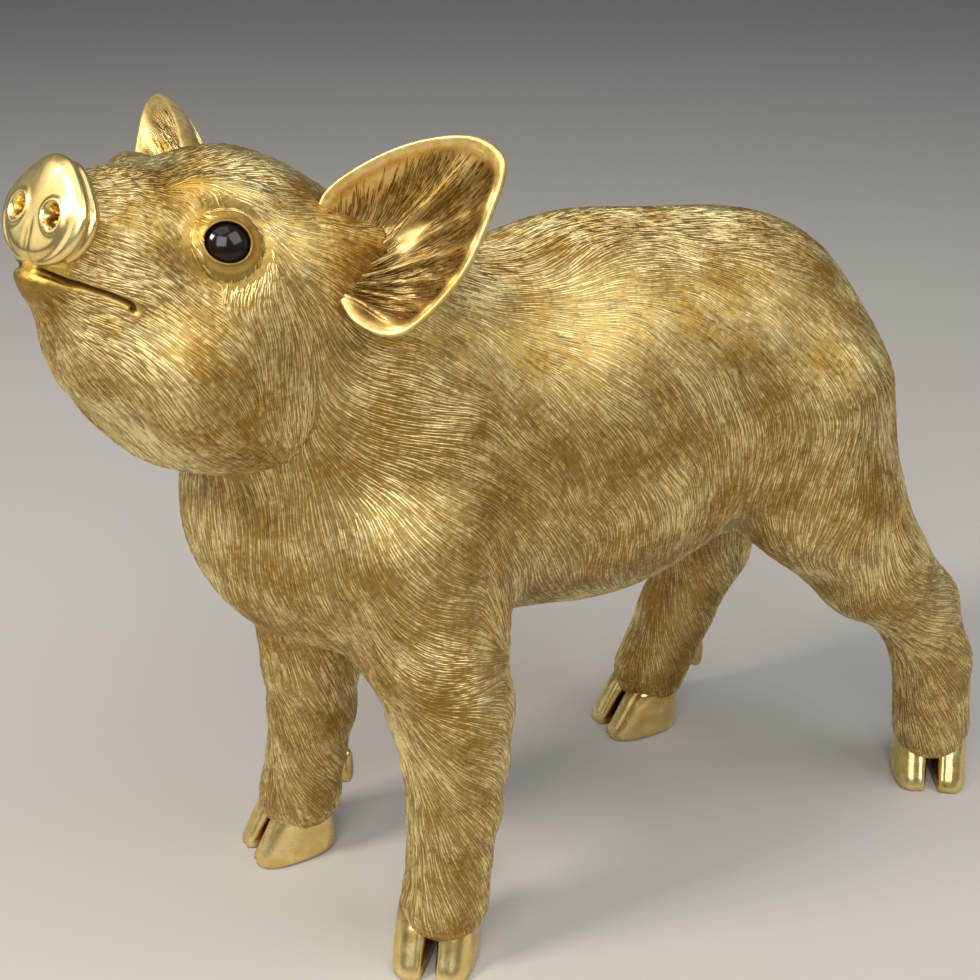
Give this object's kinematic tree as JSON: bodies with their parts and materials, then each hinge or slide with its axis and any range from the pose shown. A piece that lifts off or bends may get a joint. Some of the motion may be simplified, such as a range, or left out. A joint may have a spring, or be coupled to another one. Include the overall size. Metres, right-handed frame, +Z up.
{
  "type": "piglet figurine",
  "caption": "Standing piglet figurine, with an engraved coat under an antique gold finish, burnished snout, ears and hooves, dark glass eyes and a lifted head.",
  "frame": {"origin": "on the ground, below the middle of the figure's bounding box", "axes": "+X towards the snout, +Y towards the piglet's left, +Z up"},
  "size_m": [0.3296, 0.1276, 0.2698],
  "materials": {
    "antique_gold": "antique gold with dark brown in the hair grooves, burnished on snout, inner ears and hooves",
    "eye_glass": "polished, near black, with a dark brown rim"
  },
  "bodies": {
    "root": {"piglet": "antique_gold", "left_eye": "eye_glass", "right_eye": "eye_glass"}
  },
  "joints": []
}
